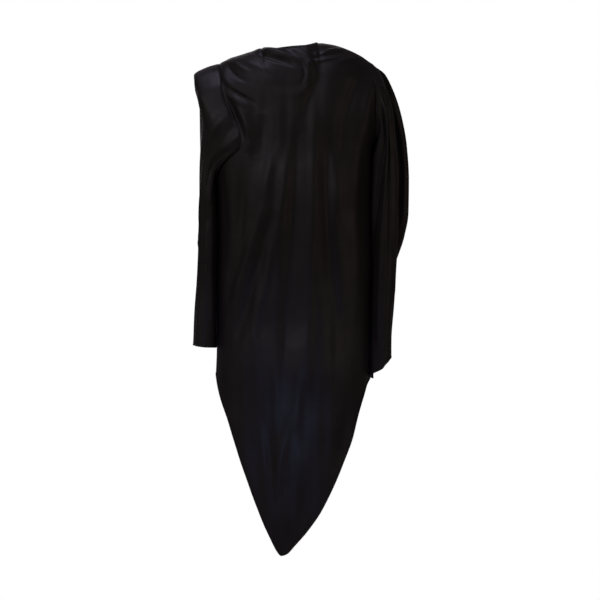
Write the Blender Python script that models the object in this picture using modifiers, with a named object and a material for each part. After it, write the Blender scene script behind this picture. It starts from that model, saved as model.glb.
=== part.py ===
# Asymmetric draped top in black silk satin, worn shape, hollow and open.
# Two short tables give the form under the cloth and the outline, and each
# cut piece is a grid of points on that form with a thin wall.
# Sizes are in millimetres and become metres where a mesh is made.
# X runs across (the wearer's left is +X), -Y is the front, +Z is up.
# The origin lies midway between the outer ends of the shoulder seams.

import bpy
import numpy as np

MM = 0.001
CLOTH = 1.0             # wall thickness of one layer
SEAM_GAP = 0.5          # air between two outer faces where they are sewn, 0.3 inside
ANGLED_GAP = 1.2        # the same at a shoulder or armhole, where walls meet at an angle
SQUARENESS = 2.3        # 2 is an ellipse, more is a squarer body section

PANEL_COLUMNS = 36      # columns across a panel, shoulder to shoulder
SIDE_CROWDING = 0.6     # 0 spaces them evenly, 1 crowds them most at the sides
ARM_CROWDING = 0.5      # the same for the rows beside the armhole
ARM_ROWS = 16           # rows beside the armhole
SIDE_ROWS = 26          # rows beside the side seam
NECK_COLUMNS = (12, 22)     # columns that start at the two neck points
TIP_COLUMN = 16         # column that ends in the tip of the tail
TIP_FRACTION = 0.4256   # where the tip lies between the two sides
BACK_STEP = 2           # the back is plain, so it keeps each second column and row

NECK_DEPTH = {"front": 70.0, "back": 60.0}      # neck edge before or behind the seams
NECK_DIP = {"front": 12.0, "back": -6.0}        # how far its middle hangs below them
SHOULDER_ROUND = 78.0   # drop over which a shoulder rounds into the chest or back
BACK_HEM_DIP = 58.0     # middle of the back hem below its ends

# The form that the cloth hangs on. A row is a level, and "down" is how far it
# lies below the origin. left and right are X, front and back are depths.
FORM_COLUMNS = ("down", "left", "right", "front", "back")
FORM_ROWS = (
    (-60, -188, 188, 88, 70),
    (0, -190, 190, 94, 78),
    (50, -205, 204, 100, 90),
    (100, -203, 206, 106, 100),
    (140, -198, 192, 110, 104),
    (190, -185, 170.4, 114, 106),
    (235, -176, 168, 120, 105),
    (300, -169, 167, 124, 101),
    (430, -167, 168, 121, 97),
    (550, -168, 166.5, 125, 104),
    (610, -169, 165, 134, 112),
    (665, -169.6, 163.5, 138, 116),
    (760, -169.6, 163.1, 133, 118),
    (900, -169.6, 163.1, 134, 118),
    (1060, -169.6, 163.1, 139, 118),
)

# Top edge seen from the front: both shoulder seams, with the neck between them.
# Columns: x, down.
LEFT_SHOULDER = ((-163, -5), (-141, -15), (-115, -24), (-95, -31), (-77, -37))
RIGHT_SHOULDER = ((60, -49.5), (85, -45), (115, -35), (144, -21), (166, -6))

# Armholes seen from the front, from the shoulder end down. Each ends in the
# underarm point, which lies on the side of the form. Columns: x, down.
ARMHOLES = {
    ("left", "front"): ((-163, -5), (-156, 56), (-132, 118), (-114, 160), (-116, 182), (-142, 200)),
    ("left", "back"): ((-163, -5), (-159, 50), (-151, 110), (-149, 155), (-159, 192)),
    ("right", "front"): ((166, -6), (173, 60), (174, 105), (172.5, 155)),
    ("right", "back"): ((166, -6), (169, 60), (168, 105), (168.5, 155)),
}
UNDERARM = {"left": 216.0, "right": 192.0}      # levels of the underarm points
SIDE_END = {"left": 661.0, "right": 674.0}      # lower ends of the side seams

# Front hem seen from the front: it falls to one pointed tip below the hips.
# Columns: x, down.
FRONT_HEM = (
    (-169.6, 661), (-162, 696), (-141, 761), (-113, 844), (-85, 927), (-49, 1010),
    (-36, 1035), (-28, 1043), (-17, 1040), (0, 1023), (46, 967), (90, 884),
    (124, 800), (145, 717), (155, 685), (163.1, 674),
)

# Folds of the front, from above to below. Each follows a curve through three
# points; width is half its breadth, and height is below zero for a trough.
# Columns: name, x1, down1, x2, down2, x3, down3, width, height.
FRONT_FOLDS = (
    ("armhole_ridge", -132, 78, -108, 120, -95, 168, 13, 6.0),
    ("shoulder_ridge", 166, 44, 140, 107, 124, 241, 17, 7.0),
    ("shoulder_ridge_low", 124, 221, 128, 379, 132, 520, 17, 4.5),
    ("shoulder_hollow", 144, 20, 112, 80, 99, 148, 15, -6.0),
    ("chest_ridge", 39, 150, 37, 390, 20, 655, 17, 6.0),
    ("chest_ridge_low", 18, 663, -3, 757, -32, 873, 18, 4.5),
    ("middle_trough", 8, 165, -7, 378, -22, 654, 17, -7.5),
    ("right_trough", 71, 162, 71, 315, 88, 505, 15, -6.5),
    ("right_trough_low", 88, 484, 98, 579, 92, 649, 24, -6.0),
    ("right_ridge", 95, 221, 94, 273, 100, 330, 11, 3.5),
    ("hip_trough", -56, 349, -81, 438, -115, 569, 13, -6.0),
    ("hip_ridge_outer", -72, 326, -103, 425, -140, 537, 14, 4.0),
    ("hip_ridge_inner", -38, 326, -54, 432, -86, 569, 14, 4.5),
    ("side_trough", -108, 248, -119, 347, -134, 497, 15, -4.0),
    ("bust_hollow", -66, 116, -66, 162, -69, 209, 18, -5.0),
    ("neck_hollow", 46, 5, 50, 29, 37, 75, 17, -7.0),
    ("neck_curl", 5, -14, 38, 20, 14, 58, 9, 4.5),
    ("neck_pleat", -72, -14, -48, -5, -14, 6, 10, -4.5),
    ("shoulder_light", -112, -2, -84, 8, -56, 28, 13, 4.0),
    ("tail_trough", -59, 783, -49, 846, -38, 930, 14, -5.0),
    ("tail_ridge", -20, 795, -36, 873, -28, 967, 14, 5.0),
    ("tail_hollow", 12, 880, 22, 936, 6, 985, 16, -5.0),
)

# Sleeves as loops from the armhole to the cuff. A loop passes through an outer
# point, a front point, an inner point beside the body and a back point that
# mirrors the front one at its own depth. Columns: outer_x, outer_down,
# front_x, front_down, front_y, inner_x, inner_down, back_y.
SLEEVE_ROWS = {
    "left": (
        (-163, -5, -124, 118, -73, -179, 216, 73),
        (-192, 4, -141, 132, -75, -184.5, 220, 72),
        (-217, 21, -156, 150, -76, -185.5, 228, 72),
        (-214, 50, -169, 168, -74, -184, 236, 71),
        (-205, 90, -178, 192, -71, -182, 246, 70),
        (-203, 134, -184, 218, -68, -180.5, 258, 68),
        (-203.5, 205, -187, 261, -66, -178.5, 285, 66),
        (-205.5, 300, -188, 314, -65, -176, 322, 65),
        (-208.5, 430, -189.5, 435, -65, -175, 441, 65),
        (-216, 540, -192, 543, -66, -175, 548, 66),
        (-219, 602, -194, 606, -66, -175, 607, 66),
    ),
    "right": (
        (166, -6, 174, 99, -60, 170.4, 192, 60),
        (172, 0, 181, 106, -60, 174.5, 195, 60),
        (181, 9, 187, 116, -61, 175.5, 201, 60),
        (198, 47, 194, 146, -61, 175.5, 218, 60),
        (207, 78, 197, 174, -61, 174.5, 238, 60),
        (216, 150, 198, 220, -61, 173.5, 274, 60),
        (221, 245, 198, 292, -61, 173, 330, 60),
        (220.5, 365, 197, 388, -60, 174, 405, 60),
        (216, 485, 195, 491, -60, 173.5, 500, 60),
        (209, 590, 191, 600, -60, 172, 612, 60),
        (208.4, 628, 190, 650, -60, 170, 674, 60),
    ),
}
SLEEVE_RINGS = 16       # rings along a sleeve
RING_POINTS = 24        # points round a ring
BLEND_RINGS = 8         # rings over which the armhole's shape fades out
BODY_CLEARANCE = 2.0    # least room between a sleeve and the side it hangs against
CLEAR_FROM = 184.0      # level from which that room grows
CLEAR_RAMP = 20.0       # drop over which it grows

# Drape of cloth behind one sleeve: a fold that is open towards the body. Both
# of its layers are sewn to the back, and the folded edge makes the outline.
# Columns: fold_x, fold_down, fold_y, layer_gap, sewn_down.
DRAPE_ROWS = (
    (180, 0, 46, 7, 6),
    (196, 11, 58, 9, 16),
    (219, 53, 79, 12, 52),
    (237, 111, 88, 15, 104),
    (247, 172, 89, 16, 150),
    (251, 240, 88, 16, 212),
    (250, 312, 87, 15, 268),
    (241, 365, 85, 12, 312),
    (221, 424, 80, 7, 356),
)
DRAPE_LINES = 22        # rows from the shoulder to the end of the drape
DRAPE_LAYER_POINTS = 6  # points across one layer
DRAPE_SEWN_X = (140.0, 124.0)   # sewn edges of the near and the far layer

SATIN_COLOUR = (0.012, 0.011, 0.012, 1.0)
SATIN_ROUGHNESS = 0.38


def smooth(x, y, at):
    """Curve through table points whose slopes never overshoot them."""
    x = np.asarray(x, float)
    y = np.asarray(y, float)
    step = np.diff(x)
    slope = np.diff(y) / step
    bend = np.zeros(len(x))
    bend[0] = slope[0]
    bend[-1] = slope[-1]
    before = slope[:-1]
    after = slope[1:]
    same_way = before * after > 0
    total = np.where(same_way, before + after, 1.0)
    bend[1:-1] = np.where(same_way, 2 * before * after / total, 0.0)
    at = np.clip(at, x[0], x[-1])
    i = np.clip(np.searchsorted(x, at, side="right") - 1, 0, len(x) - 2)
    t = (at - x[i]) / step[i]
    rise = y[i] * (1 + 2 * t) * (1 - t) ** 2 + y[i + 1] * t * t * (3 - 2 * t)
    return rise + step[i] * t * (1 - t) * (bend[i] * (1 - t) - bend[i + 1] * t)


def lengths(points):
    """Distance of each point of a line from its start, along the line."""
    steps = np.linalg.norm(np.diff(points, axis=0), axis=1)
    return np.concatenate(([0.0], np.cumsum(steps)))


def along(points, fractions):
    """Points at the given fractions of a smooth line through some points."""
    points = np.asarray(points, float)
    run = lengths(points)
    return np.stack([smooth(run, column, fractions * run[-1]) for column in points.T], axis=-1)


def ease(t):
    """Rise from 0 to 1 that starts and ends level."""
    t = np.clip(t, 0.0, 1.0)
    return t * t * (3 - 2 * t)


def form(column, down):
    """One column of the form's table at any level."""
    rows = np.array(FORM_ROWS, float)
    return smooth(rows[:, 0], rows[:, FORM_COLUMNS.index(column)], down)


def form_depth(face, x, down):
    """Depth of the form in front of or behind its middle plane at a place seen from the front."""
    middle = (form("right", down) + form("left", down)) / 2
    half = (form("right", down) - form("left", down)) / 2
    s = np.clip(np.abs(x - middle) / half, 0.0, 1.0)
    return form(face, down) * (1 - s ** SQUARENESS) ** (1 / SQUARENESS)


def crowd(t, amount):
    """Even steps from 0 to 1 drawn closer together at both ends."""
    return t + ((1 - np.cos(np.pi * t)) / 2 - t) * amount


def column_fractions():
    """Places of the columns across a panel: closer together at its sides, one on the tip."""
    fine = np.linspace(0.0, 1.0, 400)
    places = crowd(fine, SIDE_CROWDING)
    tip = np.interp(TIP_FRACTION, places, fine)
    warp = np.log(tip) / np.log(TIP_COLUMN / PANEL_COLUMNS)
    u = np.linspace(0.0, 1.0, PANEL_COLUMNS + 1)
    return np.interp(u ** warp, fine, places)


def panel_edge(side, face):
    """Side edge of a panel: down the armhole, then down the side seam."""
    fractions = crowd(np.linspace(0.0, 1.0, ARM_ROWS + 1), ARM_CROWDING)
    underarm = (float(form(side, UNDERARM[side])), UNDERARM[side])
    arm = along(ARMHOLES[side, face] + (underarm,), fractions)
    down = np.linspace(arm[-1, 1], SIDE_END[side], SIDE_ROWS + 1)[1:]
    seam = np.stack([form(side, down), down], axis=-1)
    return np.concatenate([arm, seam])


def top_edge(face, x):
    """Level of a panel's top edge, and its depth, which is nothing along the shoulder seams."""
    left = np.array(LEFT_SHOULDER, float)
    right = np.array(RIGHT_SHOULDER, float)
    first, last = NECK_COLUMNS
    down = np.where(x < 0, smooth(left[:, 0], left[:, 1], x), smooth(right[:, 0], right[:, 1], x))
    depth = np.zeros(len(x))
    neck = slice(first, last + 1)
    across = (x[neck] - x[first]) / (x[last] - x[first])
    tau = 2 * across - 1
    down[neck] = down[first] + (down[last] - down[first]) * across + NECK_DIP[face] * (1 - tau ** 2)
    depth[neck] = NECK_DEPTH[face] * (1 - np.abs(tau) ** SQUARENESS) ** (1 / SQUARENESS)
    return down, depth


def panel_points(face):
    """Grid of a panel's points, rows from its top edge to its hem."""
    left = panel_edge("left", face)
    right = panel_edge("right", face)
    c = column_fractions()
    row = np.arange(len(left))[:, None]
    x = left[:, :1] + (right[:, :1] - left[:, :1]) * c
    down = left[:, 1:] + (right[:, 1:] - left[:, 1:]) * ease(c)
    top, top_depth = top_edge(face, x[0])
    down = down + (top - down[0]) * np.clip(1 - row / ARM_ROWS, 0.0, 1.0) ** 1.5
    if face == "front":
        hem_table = np.array(FRONT_HEM, float)
        hem = smooth(hem_table[:, 0], hem_table[:, 1], x[-1])
    else:
        hem = down[-1] + BACK_HEM_DIP * 4 * c * (1 - c)
    fall = np.clip((row - ARM_ROWS) / SIDE_ROWS, 0.0, 1.0) ** 1.7
    down = down + (hem - down[-1]) * fall
    drop = np.clip((down - top) / SHOULDER_ROUND, 0.0, 1.0)
    ramp = np.sqrt(1 - (1 - drop) ** 2)
    gap = np.where(row == 0, ANGLED_GAP, SEAM_GAP)
    depth = top_depth + (form_depth(face, x, down) - top_depth) * ramp + gap / 2
    y = -depth if face == "front" else depth
    return np.stack([x, y, -down], axis=-1)


def grid_normals(points):
    """Directions square to a grid, on the side where rows run down and columns run right."""
    down = np.gradient(points, axis=0)
    right = np.gradient(points, axis=1)
    normal = np.cross(down, right)
    return normal / np.maximum(np.linalg.norm(normal, axis=-1, keepdims=True), 1e-9)


def fold_height(fold, x, down):
    """Height of one fold at places seen from the front: it fades with distance from its line."""
    name, x1, down1, x2, down2, x3, down3, width, height = fold
    t = np.linspace(0.0, 1.0, 25)
    line_x = x1 * (1 - t) * (1 - 2 * t) + 4 * x2 * t * (1 - t) + x3 * t * (2 * t - 1)
    line_down = down1 * (1 - t) * (1 - 2 * t) + 4 * down2 * t * (1 - t) + down3 * t * (2 * t - 1)
    away = np.hypot(x[..., None] - line_x, down[..., None] - line_down)
    near = away.argmin(axis=-1)
    fade = 0.6 + 0.4 * np.sin(np.pi * t[near])
    return height * fade * np.exp(-(away.min(axis=-1) / width) ** 2)


def front_points():
    """Front panel with its folds, which die out at the sewn edges."""
    points = panel_points("front")
    x = points[..., 0]
    down = -points[..., 2]
    height = sum(fold_height(fold, x, down) for fold in FRONT_FOLDS)
    column = np.arange(PANEL_COLUMNS + 1)
    from_side = np.minimum(column, PANEL_COLUMNS - column) / 3
    from_top = np.arange(len(points))[:, None] / 3
    first, last = NECK_COLUMNS
    open_neck = (column > first + 1) & (column < last - 1)
    keep = ease(from_side) * np.where(open_neck, 0.4 + 0.6 * ease(from_top), ease(from_top))
    return points + grid_normals(points) * (height * keep)[..., None]


def back_points():
    """Back panel: plain, so it keeps only some of its columns and rows."""
    points = panel_points("back")
    return points[::BACK_STEP, ::BACK_STEP]


def armhole_ring(side):
    """Armhole as one closed ring: from the shoulder down the front and up the back."""
    column = 0 if side == "left" else -1
    half = RING_POINTS // 2
    front = along(panel_points("front")[:ARM_ROWS + 1, column], np.linspace(0, 1, half + 1))
    back = along(panel_points("back")[:ARM_ROWS + 1, column], np.linspace(0, 1, half + 1))
    return np.concatenate([front, back[-2:0:-1]])


def four_point_loop(row, phi):
    """Loop through an outer, a front, an inner and a back point."""
    outer_x, outer_down, front_x, front_down, front_y, inner_x, inner_down, back_y = row
    outer = np.array([outer_x, 0.0, -outer_down])
    inner = np.array([inner_x, 0.0, -inner_down])
    front = np.array([front_x, front_y, -front_down])
    back = np.array([front_x, back_y, -front_down])
    middle = (outer + inner) / 2
    across = np.cos(phi)[:, None] * (outer - inner) / 2
    swell = np.sign(np.sin(phi)) * np.abs(np.sin(phi)) ** 0.85
    through = swell[:, None] * (front - back) / 2
    bow = (np.sin(phi) ** 2)[:, None] * ((front + back) / 2 - middle)
    return middle + across + through + bow


def clear_of_body(points, room):
    """Points moved out from the body's middle until they clear its surface."""
    x, y, z = points[..., 0], points[..., 1], points[..., 2]
    middle = (form("right", -z) + form("left", -z)) / 2
    half = (form("right", -z) - form("left", -z)) / 2
    depth = np.where(y < 0, form("front", -z), form("back", -z))
    reach = ((np.abs(x - middle) / half) ** SQUARENESS + (np.abs(y) / depth) ** SQUARENESS) ** (1 / SQUARENESS)
    scale = np.maximum((1 + room / half) / reach, 1.0)
    scale = 1 + (scale - 1) * np.clip((-z - CLEAR_FROM) / CLEAR_RAMP, 0.0, 1.0)
    return np.stack([middle + (x - middle) * scale, y * scale, z], axis=-1)


def sleeve_points(side):
    """Rings of a sleeve, from the armhole to the cuff."""
    table = np.array(SLEEVE_ROWS[side], float)
    at = np.linspace(0.0, len(table) - 1, SLEEVE_RINGS + 1)
    rows = np.stack([smooth(np.arange(len(table)), column, at) for column in table.T], axis=-1)
    phi = np.linspace(0.0, 2 * np.pi, RING_POINTS, endpoint=False)
    rings = np.stack([four_point_loop(row, phi) for row in rows])
    shape = armhole_ring(side) - rings[0]
    fade = ease(1 - np.arange(SLEEVE_RINGS + 1) / BLEND_RINGS)
    rings = clear_of_body(rings + fade[:, None, None] * shape, BODY_CLEARANCE)
    away = rings[1] - rings[0]
    away = away / np.maximum(np.linalg.norm(away, axis=-1, keepdims=True), 1e-9)
    rings[0] = rings[0] + away * ANGLED_GAP
    return rings


def depth_on(points, x, downs):
    """Depth of a panel's own points at some levels on one line down it."""
    y = [np.interp(x, row[:, 0], row[:, 1]) for row in points]
    down = [np.interp(x, row[:, 0], -row[:, 2]) for row in points]
    return np.interp(downs, down, y)


def drape_points():
    """Rows of the drape: out along the near layer, round the fold and back along the far layer."""
    table = np.array(DRAPE_ROWS, float)
    at = np.linspace(0.0, len(table) - 1, DRAPE_LINES)
    fold_x, fold_down, fold_y, layer_gap, sewn_down = (
        smooth(np.arange(len(table)), column, at)[:, None] for column in table.T)
    near_x, far_x = DRAPE_SEWN_X
    lift = 2 * CLOTH + SEAM_GAP
    back = back_points()
    near_y = depth_on(back, near_x, sewn_down) + lift
    far_y = depth_on(back, far_x, sewn_down) + lift
    t = np.linspace(0.0, 1.0, DRAPE_LAYER_POINTS)
    inner_end = fold_x - layer_gap / 2
    near = [near_x + (inner_end - near_x) * t,
            near_y + (fold_y - layer_gap / 2 - near_y) * (1 - (1 - t) ** 1.6),
            sewn_down + (fold_down - sewn_down) * t]
    turn = np.linspace(-60, 60, 3) * np.pi / 180
    fold = [inner_end + layer_gap / 2 * np.cos(turn),
            fold_y + layer_gap / 2 * np.sin(turn),
            fold_down + 0 * turn]
    back_t = t[::-1]
    far = [far_x + (inner_end - far_x) * back_t,
           far_y + (fold_y + layer_gap / 2 - far_y) * np.sin(np.pi / 2 * back_t),
           sewn_down + (fold_down - sewn_down) * back_t]
    x, y, down = (np.concatenate(parts, axis=1) for parts in zip(near, fold, far))
    return np.stack([x, y, -down], axis=-1)


def satin(name):
    """Black silk satin for one piece."""
    material = bpy.data.materials.new(name)
    material.use_nodes = True
    shader = material.node_tree.nodes["Principled BSDF"]
    shader.inputs["Base Color"].default_value = SATIN_COLOUR
    shader.inputs["Roughness"].default_value = SATIN_ROUGHNESS
    material.diffuse_color = SATIN_COLOUR
    return material


def cloth_piece(name, points, collection, ring=False, turned=False):
    """Mesh over a grid of points, with a wall that grows inwards from it."""
    rows, columns = points.shape[:2]
    index = np.arange(rows * columns).reshape(rows, columns)
    if ring:
        index = np.concatenate([index, index[:, :1]], axis=1)
    corners = [index[:-1, :-1], index[1:, :-1], index[1:, 1:], index[:-1, 1:]]
    if turned:
        corners.reverse()
    faces = np.stack(corners, axis=-1).reshape(-1, 4)
    mesh = bpy.data.meshes.new(name)
    mesh.from_pydata((points.reshape(-1, 3) * MM).tolist(), [], faces.tolist())
    mesh.shade_smooth()
    piece = bpy.data.objects.new(name, mesh)
    piece.data.materials.append(satin(name + "_satin"))
    wall = piece.modifiers.new("wall", "SOLIDIFY")
    wall.thickness = CLOTH * MM
    wall.offset = -1
    collection.objects.link(piece)
    return piece


def main():
    """All five pieces in one collection."""
    for old in list(bpy.data.objects):
        bpy.data.objects.remove(old)
    top = bpy.data.collections.new("draped_top")
    bpy.context.scene.collection.children.link(top)
    cloth_piece("front_panel", front_points(), top)
    cloth_piece("back_panel", back_points(), top, turned=True)
    cloth_piece("sleeve_plain", sleeve_points("left"), top, ring=True, turned=True)
    cloth_piece("sleeve_slanted", sleeve_points("right"), top, ring=True)
    cloth_piece("side_drape", drape_points(), top, turned=True)


main()
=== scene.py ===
import bpy
import mathutils
import numpy as np
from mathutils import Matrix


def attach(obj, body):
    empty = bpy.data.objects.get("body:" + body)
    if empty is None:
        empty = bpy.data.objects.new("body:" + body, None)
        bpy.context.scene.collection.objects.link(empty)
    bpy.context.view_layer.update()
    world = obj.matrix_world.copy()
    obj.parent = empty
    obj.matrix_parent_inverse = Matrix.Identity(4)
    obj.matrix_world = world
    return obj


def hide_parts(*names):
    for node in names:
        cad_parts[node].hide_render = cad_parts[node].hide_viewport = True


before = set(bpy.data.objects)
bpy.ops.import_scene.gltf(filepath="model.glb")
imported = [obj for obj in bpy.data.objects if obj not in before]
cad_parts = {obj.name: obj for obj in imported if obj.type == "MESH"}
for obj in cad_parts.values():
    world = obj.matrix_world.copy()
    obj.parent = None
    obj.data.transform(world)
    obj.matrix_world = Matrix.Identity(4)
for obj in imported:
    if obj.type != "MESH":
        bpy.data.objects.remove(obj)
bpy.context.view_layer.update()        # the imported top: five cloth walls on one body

# Long asymmetric top in black silk satin, worn shape, hollow and open.
# Lengths are in millimetres until a mesh is made. X runs across, -Y is the
# front, +Z is up, and "down" is the distance below the shoulder ends.

mm = 0.001
body = "root"

cloth = {
    "thickness": 0.5,        # one layer of satin with a little body
    "seamGap": 0.12,         # air at a sewn edge, too fine to see
    "seamDip": 1.1,          # how far a seam pulls the cloth in
    "seamReach": 2.6,        # how far from the seam that shows
    "seamShows": {           # level and how plainly the armhole and side seam show there
        "left": ((-60, 1), (120, 1), (165, 0.15), (225, 0.15), (260, 1), (700, 1)),
        "right": ((-60, 0.1), (60, 0.15), (115, 1), (700, 1)),
    },
    "foldFade": 6.0,         # folds die out over this distance from a seam
    "squareness": 2.3,       # section of the body under the cloth, 2 would be an ellipse
    "shoulderRound": 78.0,   # drop over which a shoulder rounds over
}

# Form under the cloth, the same as the solids have: a row is a level.
formColumns = ("down", "left", "right", "front", "back")
formRows = np.array((
    (-60, -188, 188, 88, 70),
    (0, -190, 190, 94, 78),
    (50, -205, 204, 100, 90),
    (100, -203, 206, 106, 100),
    (140, -198, 192, 110, 104),
    (190, -185, 170.4, 114, 106),
    (235, -176, 168, 120, 105),
    (300, -169, 167, 124, 101),
    (430, -167, 168, 121, 97),
    (550, -168, 166.5, 125, 104),
    (610, -169, 165, 134, 112),
    (665, -169.6, 163.5, 138, 116),
    (760, -169.6, 163.1, 133, 118),
    (900, -169.6, 163.1, 134, 118),
    (1060, -169.6, 163.1, 139, 118),
), float)

# Columns: x, down.
leftShoulder = np.array(((-163, -5), (-141, -15), (-115, -24), (-95, -31), (-77, -37)), float)
rightShoulder = np.array(((60, -49.5), (85, -45), (115, -35), (144, -21), (166, -6)), float)
armholes = {
    ("left", "front"): ((-163, -5), (-156, 56), (-132, 118), (-114, 160), (-116, 182), (-142, 200)),
    ("left", "back"): ((-163, -5), (-159, 50), (-151, 110), (-149, 155), (-159, 192)),
    ("right", "front"): ((166, -6), (173, 60), (174, 105), (172.5, 155)),
    ("right", "back"): ((166, -6), (169, 60), (168, 105), (168.5, 155)),
}
underarm = {"left": 216.0, "right": 192.0}
sideEnd = {"left": 661.0, "right": 674.0}


def smooth(x, y, at):
    # Cubic pieces through table points, with slopes that never overshoot them.
    x, y = np.asarray(x, float), np.asarray(y, float)
    step = np.diff(x)
    slope = np.diff(y) / step
    bend = np.zeros(len(x))
    bend[0], bend[-1] = slope[0], slope[-1]
    sameWay = slope[:-1] * slope[1:] > 0
    total = np.where(sameWay, slope[:-1] + slope[1:], 1.0)
    bend[1:-1] = np.where(sameWay, 2 * slope[:-1] * slope[1:] / total, 0.0)
    at = np.clip(at, x[0], x[-1])
    i = np.clip(np.searchsorted(x, at, side="right") - 1, 0, len(x) - 2)
    t = (at - x[i]) / step[i]
    rise = y[i] * (1 + 2 * t) * (1 - t) ** 2 + y[i + 1] * t * t * (3 - 2 * t)
    return rise + step[i] * t * (1 - t) * (bend[i] * (1 - t) - bend[i + 1] * t)


def runOf(points, axis=0):
    # Distance travelled along a line or along one way of a grid.
    steps = np.linalg.norm(np.diff(points, axis=axis), axis=-1)
    start = np.zeros_like(np.take(steps, [0], axis=axis))
    return np.concatenate([start, np.cumsum(steps, axis=axis)], axis=axis)


def along(points, fractions):
    # Points at fractions of the length of a smooth line.
    points = np.asarray(points, float)
    run = runOf(points)
    return np.stack([smooth(run, column, fractions * run[-1]) for column in points.T], axis=-1)


def ease(t):
    # Rise from 0 to 1 that starts and ends level.
    t = np.clip(t, 0.0, 1.0)
    return t * t * (3 - 2 * t)


def crowd(t, amount):
    # Even steps from 0 to 1 drawn together at both ends.
    return t + ((1 - np.cos(np.pi * t)) / 2 - t) * amount


def form(column, down):
    return smooth(formRows[:, 0], formRows[:, formColumns.index(column)], down)


def formDepth(face, x, down):
    # Superellipse: depth times the root of what |x| leaves of the half width.
    middle = (form("right", down) + form("left", down)) / 2
    half = (form("right", down) - form("left", down)) / 2
    s = np.clip(np.abs(x - middle) / half, 0.0, 1.0)
    n = cloth["squareness"]
    return form(face, down) * (1 - s ** n) ** (1 / n)


def seamHeight(away, x, down):
    # A bell of the distance from the seam, taken inwards, as plain as its level says.
    left, right = (
        np.interp(down, *np.array(cloth["seamShows"][side], float).T) for side in ("left", "right"))
    bell = np.exp(-(away / cloth["seamReach"]) ** 2)
    return -cloth["seamDip"] * np.where(x < 0, left, right) * bell


def normalsOf(points, ring=False):
    # Cross product of the grid's two directions: towards the viewer where rows
    # run down and columns run right.
    if ring:
        right = np.roll(points, -1, axis=1) - np.roll(points, 1, axis=1)
    else:
        right = np.gradient(points, axis=1)
    normal = np.cross(np.gradient(points, axis=0), right)
    return normal / np.maximum(np.linalg.norm(normal, axis=-1, keepdims=True), 1e-9)


foldLook = {
    "reach": 5.0,            # half breadths past which a fold is nothing
    "tries": 25,             # places on the curve from which the nearest is sought
    "endShare": 0.45,        # height at an end of the curve, as a share of the whole
    "tail": 2.2,             # half breadths over which it dies out past its ends
}


def foldHeight(fold, across, down):
    # A fold is a soft ridge along a curve through three points. Its height is
    # a bell of the distance from the curve, steeper on one side by its lean,
    # and it thins towards both ends of the curve.
    name, x1, down1, x2, down2, x3, down3, width, height, lean = fold
    reach = foldLook["reach"] * width
    near = ((across > min(x1, x2, x3) - reach) & (across < max(x1, x2, x3) + reach)
            & (down > min(down1, down2, down3) - reach) & (down < max(down1, down2, down3) + reach))
    result = np.zeros(across.shape)
    if not near.any():
        return result
    place = np.stack([across[near], down[near]], axis=-1)
    first, middle, last = np.array(((x1, down1), (x2, down2), (x3, down3)), float)
    bend = 2 * (first - 2 * middle + last)
    start = 4 * middle - 3 * first - last
    tries = np.linspace(0.0, 1.0, foldLook["tries"])[:, None]
    line = first + start * tries + bend * tries ** 2
    t = tries[np.linalg.norm(place[:, None] - line, axis=-1).argmin(axis=1)]
    for step in range(3):                    # slide to the nearest point of the curve
        head = start + 2 * bend * t
        gap = place - first - start * t - bend * t ** 2
        slide = np.sum(gap * head, axis=1, keepdims=True)
        t = np.clip(t + slide / np.sum(head * head, axis=1, keepdims=True), 0.0, 1.0)
    gap = place - first - start * t - bend * t ** 2
    head = start + 2 * bend * t
    head = head / np.linalg.norm(head, axis=1, keepdims=True)
    side = head[:, 0] * gap[:, 1] - head[:, 1] * gap[:, 0]
    past = np.sum(gap * head, axis=1)
    wide = width * (1 - lean * np.tanh(side / width))
    fade = foldLook["endShare"] + (1 - foldLook["endShare"]) * np.sin(np.pi * t[:, 0])
    tail = foldLook["tail"] * width
    result[near] = height * fade * np.exp(-(side / wide) ** 2 - (past / tail) ** 2)
    return result


def rippleHeight(ripples, across, down):
    # Sum of slow waves, so that no stretch of cloth is perfectly smooth.
    total = np.zeros(across.shape)
    for acrossLength, downLength, height, shift in ripples:
        total += height * np.sin(2 * np.pi * (across / acrossLength + down / downLength) + shift)
    return total


def addNode(tree, kind, settings=None, links=None):
    # One node, with its settings and what feeds it.
    node = tree.nodes.new(kind)
    for key, value in (settings or {}).items():
        if isinstance(key, int) or key in node.inputs:
            node.inputs[key].default_value = value
        else:
            setattr(node, key, value)
    for key, socket in (links or {}).items():
        tree.links.new(socket, node.inputs[key])
    return node


def linear(hexColour):
    # sRGB hex to linear RGBA.
    values = [int(hexColour[i:i + 2], 16) / 255 for i in (1, 3, 5)]
    values = [v / 12.92 if v <= 0.04045 else ((v + 0.055) / 1.055) ** 2.4 for v in values]
    return tuple(values) + (1.0,)


satinLook = {
    "deep": "#100c0d",          # full black dye, a little warm
    "light": "#191517",         # where the dye took less
    "roughness": (0.45, 0.56),
    "specular": 0.30,
    "anisotropy": 0.35,
    "sheen": 0.02,
    "sheenTint": "#c9c6e2",
    "threadSpacing": 0.0009,    # metres. Real threads are 0.1 mm apart, drawn coarser to show
    "slubLength": 0.030,
    "wrinkleSize": 0.016,
}


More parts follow.
